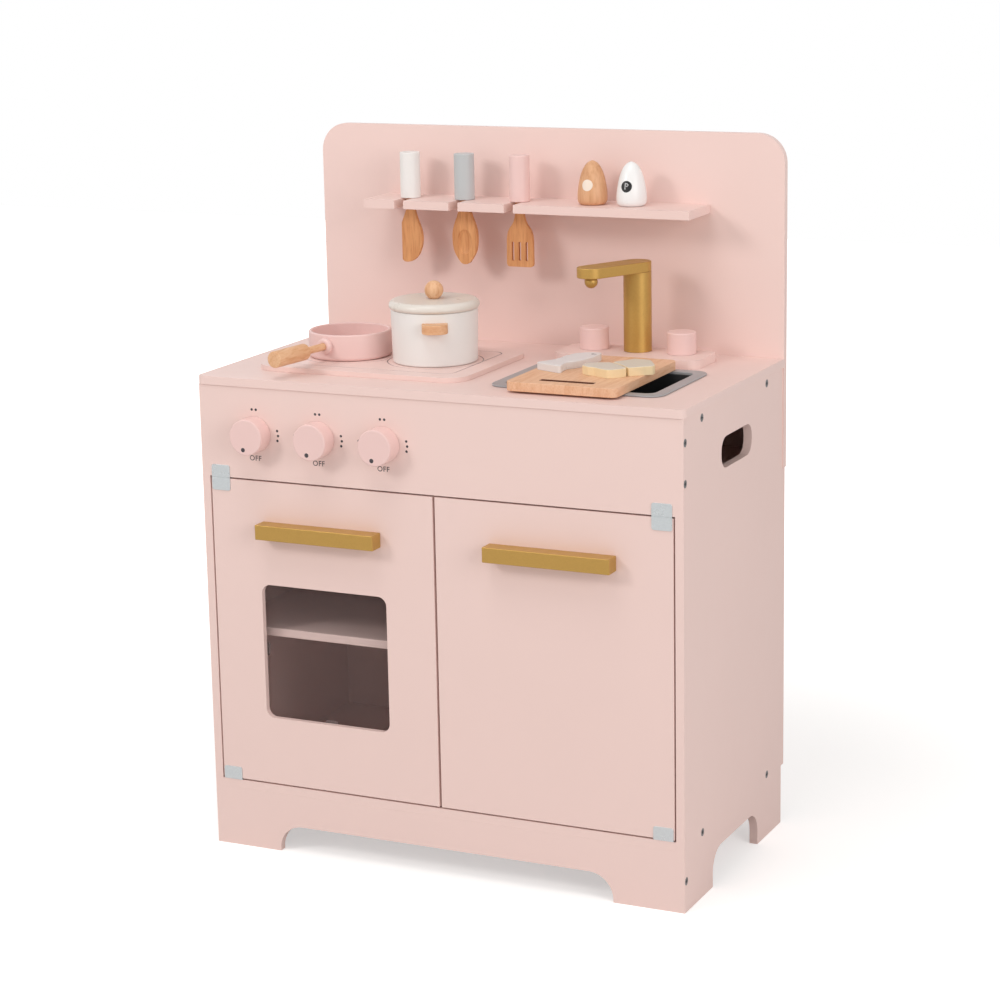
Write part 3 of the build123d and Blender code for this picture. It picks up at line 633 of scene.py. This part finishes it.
class KITCHEN_OT_metal_parts(bpy.types.Operator):
    """Zinc hinge plates, strike plates, screws and spindles"""

    bl_idname = "kitchen.metal_parts"
    bl_label = "Metal parts"

    def round_plates(self, node, body, zinc):
        """The folded plates of one node, with the leaves' outer corners rounded and the folds eased."""
        plates = bmesh.new()
        plates.from_mesh(NODES[node].data)
        bmesh.ops.remove_doubles(plates, verts=plates.verts, dist=0.00001)
        bmesh.ops.dissolve_limit(plates, angle_limit=math.radians(1), verts=plates.verts, edges=plates.edges)
        plate = 0.001
        corner = 0.0028
        outer = []
        for edge in plates.edges:
            run = edge.verts[1].co - edge.verts[0].co
            if abs(run.y) > 0.99 * run.length and 0.8 * plate < run.length < 1.2 * plate:
                outer.append(edge)
        bmesh.ops.bevel(plates, geom=outer, offset=corner, segments=7, profile=0.5, affect="EDGES")
        obj = mesh_object("rounded_" + node, plates, zinc, body)
        ease_edges(obj, sizes().plate_edge)
        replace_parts(obj, node)

    def execute(self, context):
        zinc = metal("zinc_plating", colours().zinc, 0.30, (300, 300, 4000), mottle=0.12)
        for node, body in (("fixed_hinge_plates", "cabinet"), ("oven_hinge_plates", "oven_door"),
                           ("cupboard_hinge_plates", "cupboard_door")):
            self.round_plates(node, body, zinc)
        for node in ("oven_strike_plate", "cupboard_strike_plate"):
            finish(NODES[node], zinc)
        steel = metal("screw_steel", colours().steel, 0.34, (2000, 2000, 2000), mottle=0.3)
        for node in ("cabinet_screws", "shelf_pins", "knob_spindle_left", "knob_spindle_middle",
                     "knob_spindle_right", "tap_pivot"):
            finish(NODES[node], steel)
        return {"FINISHED"}


class KITCHEN_OT_gold_parts(bpy.types.Operator):
    """Gold painted tap and door handles"""

    bl_idname = "kitchen.gold_parts"
    bl_label = "Gold parts"

    def execute(self, context):
        gold = metal("gold_satin_paint", colours().gold, 0.42, (500, 500, 500), mottle=0.12, metallic=0.55)
        for node in ("oven_handle", "cupboard_handle", "tap_nozzle", "tap_column"):
            finish(NODES[node], gold)
        finish(soften("tap_arm", sizes().wood_edge), gold)
        return {"FINISHED"}


class KITCHEN_OT_knobs(bpy.types.Operator):
    """The three control knobs, their pointer dots and the marks around them"""

    bl_idname = "kitchen.knobs"
    bl_label = "Control knobs"

    def beside(self, hub, y, place):
        """A point on a plane that faces the front, across and up from a knob's middle."""
        return Vector((hub.x + place[0], y, hub.z + place[1]))

    def execute(self, context):
        pink = paint("knob_paint", colours().deep_pink, gloss=0.38)
        ink = paint("dark_print", colours().print_dark, gloss=0.5, clouds=0.1)
        lift = sizes().print_lift
        marks = bmesh.new()
        for name in KNOB_NAMES:
            finish(NODES[name], pink)
            hub = centre(name)
            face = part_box(name)[0].y
            pointer = bmesh.new()
            print_disc(pointer, self.beside(hub, face, POINTER_PLACE), sizes().knob_dot, lift)
            mesh_object(name + "_pointer", pointer, ink, name)
            for place in DOT_PLACES:
                print_disc(marks, self.beside(hub, FRONT_Y, place), sizes().dial_dot, lift)
            word_mesh(marks, "OFF", sizes().word_height, self.beside(hub, FRONT_Y, WORD_PLACE), lift)
        mesh_object("dial_marks", marks, ink, "cabinet")
        return {"FINISHED"}


class KITCHEN_OT_sink_and_tap(bpy.types.Operator):
    """The grey drop-in sink with a dark painted shade inside it, and the tap's two handles"""

    bl_idname = "kitchen.sink_and_tap"
    bl_label = "Sink and tap handles"

    def sink_paint_and_painted_shade(self):
        """Grey on the sink's rim, and below it a dark painted shade for the inside of the bowl."""
        rim = 0.0022
        fade = 0.0018
        grey, tree, shader = bare_material("sink_grey_and_painted_shade")
        effect = add_effect(tree, "sprayed_paint", paint=(*srgb(158, 158, 160), 1), gloss=0.34, clouds=0.04)
        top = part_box("sink_bowl")[1].z
        # Painted shade: from a little below the rim's top downwards, the grey turns dark to stand in for the
        # shade inside the bowl
        below = ranged(tree, object_axes(tree)["Z"], top - rim - fade, top - rim, 1.0, 0.0)
        colour = mixed(tree, below, effect.outputs["Colour"], srgb(52, 53, 54))
        join_effect(tree, shader, effect, PAINT_DEPTH, colour)
        return grey

    def execute(self, context):
        finish(soften("sink_bowl", sizes().wood_edge), self.sink_paint_and_painted_shade())
        pink = paint("tap_handle_paint", colours().deep_pink, gloss=0.38)
        for node in ("tap_handle_left", "tap_handle_right"):
            finish(NODES[node], pink)
        return {"FINISHED"}


class KITCHEN_OT_board_and_food(bpy.types.Operator):
    """The beech chopping board, the toy fish and the two toast pieces"""

    bl_idname = "kitchen.board_and_food"
    bl_label = "Chopping board and food"

    def plank(self):
        """Beech with the grain from front to back, and a scorched brown inside its slot."""
        slot_setback = 0.022
        half_length = 0.0325
        half_width = 0.00455
        material, tree, shader = bare_material("beech_plank")
        effect = add_effect(tree, "wood_grain", light=(*srgb(234, 190, 156), 1),
                            dark=(*srgb(220, 168, 130), 1), stretch=(170, 10, 90), pores=0.3)
        axes = object_axes(tree)
        slot_x = centre("chopping_board").x
        slot_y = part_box("chopping_board")[0].y + slot_setback
        off_x = maths(tree, "ABSOLUTE", maths(tree, "SUBTRACT", axes["X"], slot_x))
        off_y = maths(tree, "ABSOLUTE", maths(tree, "SUBTRACT", axes["Y"], slot_y))
        near = maths(tree, "MULTIPLY", maths(tree, "LESS_THAN", off_x, half_length),
                     maths(tree, "LESS_THAN", off_y, half_width))
        scorch = mixed(tree, near, effect.outputs["Colour"], srgb(96, 52, 34))
        join_effect(tree, shader, effect, 0.00005, scorch)
        shader.inputs["Specular IOR Level"].default_value = 0.35
        return material

    def toast_paint(self):
        """Cream on the toast's sides and a paler crumb on its top face."""
        below = 0.0006
        fade = 0.0004
        material, tree, shader = bare_material("toast_paint")
        effect = add_effect(tree, "sprayed_paint", paint=(*colours().cream, 1), gloss=0.45, clouds=0.05)
        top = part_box("toast_left")[1].z
        crumb = ranged(tree, object_axes(tree)["Z"], top - below, top - below + fade, 0.0, 1.0)
        colour = mixed(tree, crumb, effect.outputs["Colour"], srgb(214, 204, 190))
        join_effect(tree, shader, effect, PAINT_DEPTH, colour)
        return material

    def fish_eye(self):
        """The fish's eye, a large and a small printed dot side by side."""
        ink = paint("food_print", srgb(92, 86, 92), gloss=0.5, clouds=0.1)
        eye_x = 0.1253
        eye_setback = 0.1655
        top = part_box("toy_fish")[1].z
        place = Vector((eye_x, FRONT_Y + eye_setback, top))
        eye = bmesh.new()
        for across, radius in ((0.0, 0.0021), (0.0032, 0.0012)):
            print_disc(eye, place + Vector((across, 0, 0)), radius, sizes().print_lift, upward=True)
        mesh_object("fish_eye", eye, ink, "toy_fish")

    def execute(self, context):
        finish(soften("chopping_board", sizes().wood_edge), self.plank())
        finish(NODES["toy_fish"], paint("fish_grey", srgb(226, 221, 220), gloss=0.4))
        crust = self.toast_paint()
        for node in ("toast_left", "toast_right"):
            finish(NODES[node], crust)
        self.fish_eye()
        return {"FINISHED"}


class KITCHEN_OT_cookware(bpy.types.Operator):
    """The white pot with its stone coloured lid, and the pink pan"""

    bl_idname = "kitchen.cookware"
    bl_label = "Pot and pan"

    def turn_pot(self, white):
        """The pot's body, a little narrower at its foot, with a rounded rim and foot."""
        low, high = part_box("pot_body")
        hub = centre("pot_body")
        taper = 0.0015
        rim = (high.x - low.x) / 2
        foot = rim - taper
        floor = low.z + COOKWARE_WALL
        body = bmesh.new()
        turned_mesh(body, [(0, low.z, 0), (foot, low.z, 0.0025), (rim, high.z, 0.0014),
                           (rim - COOKWARE_WALL, high.z, 0.0014), (foot - COOKWARE_WALL, floor, 0.004),
                           (0, floor, 0)], hub.x, hub.y)
        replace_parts(mesh_object("turned_pot", body, white, "pot"), "pot_body")

    def turn_lid(self, stone):
        """The lid, turned like a flat pillow, with its plug below."""
        low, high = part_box("pot_lid")
        hub = centre("pot_lid")
        radius = (high.x - low.x) / 2
        plug = 0.045
        thickness = 0.0105
        under = high.z - thickness
        lid = bmesh.new()
        turned_mesh(lid, [(0, low.z, 0), (plug, low.z, 0.001), (plug, under, 0), (radius, under, 0.0034),
                          (radius, high.z, 0.0066), (0, high.z, 0)], hub.x, hub.y)
        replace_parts(mesh_object("turned_lid", lid, stone, "pot_lid"), "pot_lid")

    def handle_boss(self, rim):
        """The round boss beside the pan that holds the handle, turned about its own axis."""
        sunk = 0.003
        length = 0.009
        radius = 0.0096
        bore = 0.0045
        bore_floor = 0.001
        root = rim - sunk
        tip = root + length
        boss = bmesh.new()
        turned_mesh(boss, [(0, root, 0), (radius, root, 0), (radius, tip, 0.0028), (bore, tip, 0.0006),
                           (bore, root + bore_floor, 0), (0, root + bore_floor, 0)], 0, 0, 64)
        return boss

    def turn_pan(self, pink):
        """The pan's body with its rounded rim, and the boss on the side where the handle points."""
        low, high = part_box("pan_body")
        radius = 0.049
        hub = Vector((high.x - radius, high.y - radius, low.z))
        floor = low.z + COOKWARE_WALL
        body = bmesh.new()
        turned_mesh(body, [(0, low.z, 0), (radius, low.z, 0.004), (radius, high.z, 0.0016),
                           (radius - COOKWARE_WALL, high.z, 0.0016), (radius - COOKWARE_WALL, floor, 0.005),
                           (0, floor, 0)], hub.x, hub.y)
        handle_turn = -97.6
        handle_height = 0.018
        boss = self.handle_boss(radius)
        turn = Matrix.Rotation(math.radians(handle_turn), 4, "Z") @ Matrix.Rotation(math.radians(90), 4, "Y")
        boss.transform(Matrix.Translation(hub + Vector((0, 0, handle_height))) @ turn)
        joined = bpy.data.meshes.new("boss")
        boss.to_mesh(joined)
        boss.free()
        body.from_mesh(joined)
        bpy.data.meshes.remove(joined)
        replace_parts(mesh_object("turned_pan", body, pink, "pan"), "pan_body")

    def execute(self, context):
        self.turn_pot(paint("pot_white", colours().white, gloss=0.32))
        self.turn_lid(paint("lid_stone", colours().stone, gloss=0.3))
        self.turn_pan(paint("pan_pink", colours().deep_pink, gloss=0.36))
        turned = beech("turned_beech", (120, 120, 12), pores=0.2)
        finish(NODES["lid_knob"], turned)
        finish(soften("pot_handles", 0.0012), beech("grip_beech", (12, 120, 120)))
        finish(NODES["pan_handle"], beech("pan_grip_beech", (120, 12, 120)))
        return {"FINISHED"}


class KITCHEN_OT_utensils(bpy.types.Operator):
    """The three utensils: beech blades under white, grey and pink handles"""

    bl_idname = "kitchen.utensils"
    bl_label = "Utensils"

    def execute(self, context):
        wood = beech("blade_beech", (130, 130, 9), srgb(226, 166, 112), srgb(198, 132, 82))
        for node in ("spatula_blade", "spoon_blade", "turner_blade"):
            finish(soften(node, sizes().wood_edge), wood)
        finish(NODES["spatula_handle"], paint("handle_white", colours().white, gloss=0.36))
        finish(NODES["spoon_handle"], paint("handle_grey", colours().grey, gloss=0.36))
        finish(NODES["turner_handle"], paint("handle_pink", colours().deep_pink, gloss=0.36))
        return {"FINISHED"}


class KITCHEN_OT_shakers(bpy.types.Operator):
    """The beech and the white shaker with their round marks"""

    bl_idname = "kitchen.shakers"
    bl_label = "Shakers"

    def execute(self, context):
        wood = beech("shaker_beech_wood", (90, 90, 10), srgb(222, 172, 132), srgb(200, 146, 104), pores=0.15)
        finish(NODES["shaker_beech"], wood)
        finish(NODES["shaker_white"], paint("shaker_white_paint", srgb(240, 239, 238), gloss=0.3))
        lift = 2 * sizes().print_lift
        mark_rise = 0.0238
        letter_height = 0.0072
        mark_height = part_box("shaker_white")[0].z + mark_rise
        for node, shown in (("shaker_beech", (238, 222, 206)), ("shaker_white", (28, 27, 28))):
            patch = bmesh.new()
            round_patch(patch, centre(node).x, mark_height, sizes().badge_radius)
            laid_on(patch, node, lift)
            ink = paint(node + "_badge", srgb(*shown), gloss=0.4)
            mesh_object(node + "_mark", patch, ink, node)
        letter = bmesh.new()
        word_mesh(letter, "P", letter_height, Vector((centre("shaker_white").x, 0, mark_height)), lift)
        bmesh.ops.triangulate(letter, faces=letter.faces)
        bmesh.ops.subdivide_edges(letter, edges=letter.edges, cuts=2, use_grid_fill=True)
        laid_on(letter, "shaker_white", 2 * lift)
        mesh_object("shaker_white_letter", letter, paint("letter_white", srgb(236, 236, 236)),
                    "shaker_white")
        return {"FINISHED"}


class KITCHEN_OT_stage(bpy.types.Operator):
    """Pale floor, soft lamps, white surroundings and the camera"""

    bl_idname = "kitchen.stage"
    bl_label = "Stage"

    def execute(self, context):
        self.lay_floor(context.scene)
        self.light_world(context.scene)
        self.hang_lamps(context.scene)
        self.set_camera(context.scene)
        context.scene.view_settings.view_transform = "Standard"
        return {"FINISHED"}

    def lay_floor(self, scene):
        """A wide pale floor that the camera sees fade to white away from the kitchen."""
        reach = 5.0
        data = bpy.data.meshes.new("floor")
        data.from_pydata([(-reach, -reach, 0), (reach, -reach, 0), (reach, reach, 0), (-reach, reach, 0)],
                         [], [(0, 1, 2, 3)])
        floor = bpy.data.objects.new("floor", data)
        scene.collection.objects.link(floor)
        material, tree, shader = bare_material("pale_floor")
        shader.inputs["Base Color"].default_value = (0.78, 0.77, 0.76, 1)
        shader.inputs["Roughness"].default_value = 0.8
        shader.inputs["Emission Color"].default_value = (1, 1, 1, 1)
        path = tree.nodes.new("ShaderNodeLightPath")
        axes = object_axes(tree)
        glow = ranged(tree, distance(tree, axes["X"], axes["Y"]), 0.5, 1.6, 0.45, 1.0)
        seen = maths(tree, "MULTIPLY", path.outputs["Is Camera Ray"], glow)
        tree.links.new(seen, shader.inputs["Emission Strength"])
        finish(floor, material)

    def light_world(self, scene):
        """Soft light from all round, with white where the surroundings are seen or mirrored."""
        world = bpy.data.worlds.new("studio")
        scene.world = world
        world.use_nodes = True
        tree = world.node_tree
        path = tree.nodes.new("ShaderNodeLightPath")
        seen = maths(tree, "MAXIMUM", path.outputs["Is Camera Ray"], path.outputs["Is Glossy Ray"])
        seen = maths(tree, "MAXIMUM", seen, path.outputs["Is Transmission Ray"])
        room = tree.nodes["Background"]
        room.inputs["Color"].default_value = (1.0, 0.985, 0.97, 1)
        room.inputs["Strength"].default_value = 0.49
        white = tree.nodes.new("ShaderNodeBackground")
        white.inputs["Color"].default_value = (1, 1, 1, 1)
        white.inputs["Strength"].default_value = 1.0
        both = tree.nodes.new("ShaderNodeMixShader")
        tree.links.new(seen, both.inputs[0])
        tree.links.new(room.outputs[0], both.inputs[1])
        tree.links.new(white.outputs[0], both.inputs[2])
        tree.links.new(both.outputs[0], tree.nodes["World Output"].inputs["Surface"])

    def hang_lamps(self, scene):
        """Three round lamps: the key at the left front, a wide fill at the right and one above."""
        aim = Vector((0, 0, 0.45))
        lamps = (("key_lamp", (-1.7, -2.3, 2.1), 0.9, 27.0, (1.0, 0.985, 0.97)),
                 ("fill_lamp", (2.6, -1.4, 1.3), 1.8, 29.0, (1.0, 0.99, 0.985)),
                 ("top_lamp", (-0.1, -0.9, 2.7), 1.2, 14.0, (1.0, 0.99, 0.985)))
        for name, spot, width, power, tint in lamps:
            data = bpy.data.lights.new(name, "AREA")
            data.shape = "DISK"
            data.size = width
            data.energy = power
            data.color = tint
            lamp = bpy.data.objects.new(name, data)
            scene.collection.objects.link(lamp)
            lamp.location = spot
            lamp.rotation_euler = (aim - Vector(spot)).to_track_quat("-Z", "Y").to_euler()

    def set_camera(self, scene):
        """The camera, placed and turned as the photograph was taken."""
        place = (1.3306, -2.7914, 1.1442)
        yaw = math.radians(26.032)
        pitch = math.radians(13.01)
        roll = math.radians(-1.249)
        ahead = Vector((-math.sin(yaw) * math.cos(pitch), math.cos(yaw) * math.cos(pitch), -math.sin(pitch)))
        right = ahead.cross(Vector((0, 0, 1))).normalized()
        up = right.cross(ahead)
        across = right * math.cos(roll) + up * math.sin(roll)
        upward = up * math.cos(roll) - right * math.sin(roll)
        data = bpy.data.cameras.new("camera")
        data.sensor_width = 36.0
        data.lens = 97.656
        data.shift_x = 0.0337
        data.shift_y = -0.0135
        data.clip_end = 50.0
        camera = bpy.data.objects.new("camera", data)
        scene.collection.objects.link(camera)
        turn = Matrix((across, upward, -ahead)).transposed().to_4x4()
        camera.matrix_world = Matrix.Translation(place) @ turn
        scene.camera = camera


OPERATORS = (
    KITCHEN_OT_painted_boards,
    KITCHEN_OT_doors,
    KITCHEN_OT_metal_parts,
    KITCHEN_OT_gold_parts,
    KITCHEN_OT_knobs,
    KITCHEN_OT_sink_and_tap,
    KITCHEN_OT_board_and_food,
    KITCHEN_OT_cookware,
    KITCHEN_OT_utensils,
    KITCHEN_OT_shakers,
    KITCHEN_OT_stage,
)


class KITCHEN_PT_panel(bpy.types.Panel):
    """The kitchen's sizes, colours and pieces"""

    bl_idname = "KITCHEN_PT_panel"
    bl_label = "Play kitchen"
    bl_space_type = "VIEW_3D"
    bl_region_type = "UI"
    bl_category = "Kitchen"

    def draw(self, context):
        for group in (context.scene.kitchen_sizes, context.scene.kitchen_colours):
            box = self.layout.box()
            for key in group.__annotations__:
                box.prop(group, key)
        for operator in OPERATORS:
            self.layout.operator(operator.bl_idname)


CLASSES = (KitchenSizes, KitchenColours, *OPERATORS, KITCHEN_PT_panel)


def register():
    """Add the classes and the two groups of settings to Blender."""
    for item in CLASSES:
        bpy.utils.register_class(item)
    bpy.types.Scene.kitchen_sizes = bpy.props.PointerProperty(type=KitchenSizes)
    bpy.types.Scene.kitchen_colours = bpy.props.PointerProperty(type=KitchenColours)


def unregister():
    """Take the settings and the classes out of Blender."""
    del bpy.types.Scene.kitchen_colours
    del bpy.types.Scene.kitchen_sizes
    for item in reversed(CLASSES):
        bpy.utils.unregister_class(item)


def main():
    """Dress every piece in order."""
    register()
    for operator in OPERATORS:
        group, name = operator.bl_idname.split(".")
        getattr(getattr(bpy.ops, group), name)()


if __name__ == "__main__":
    main()
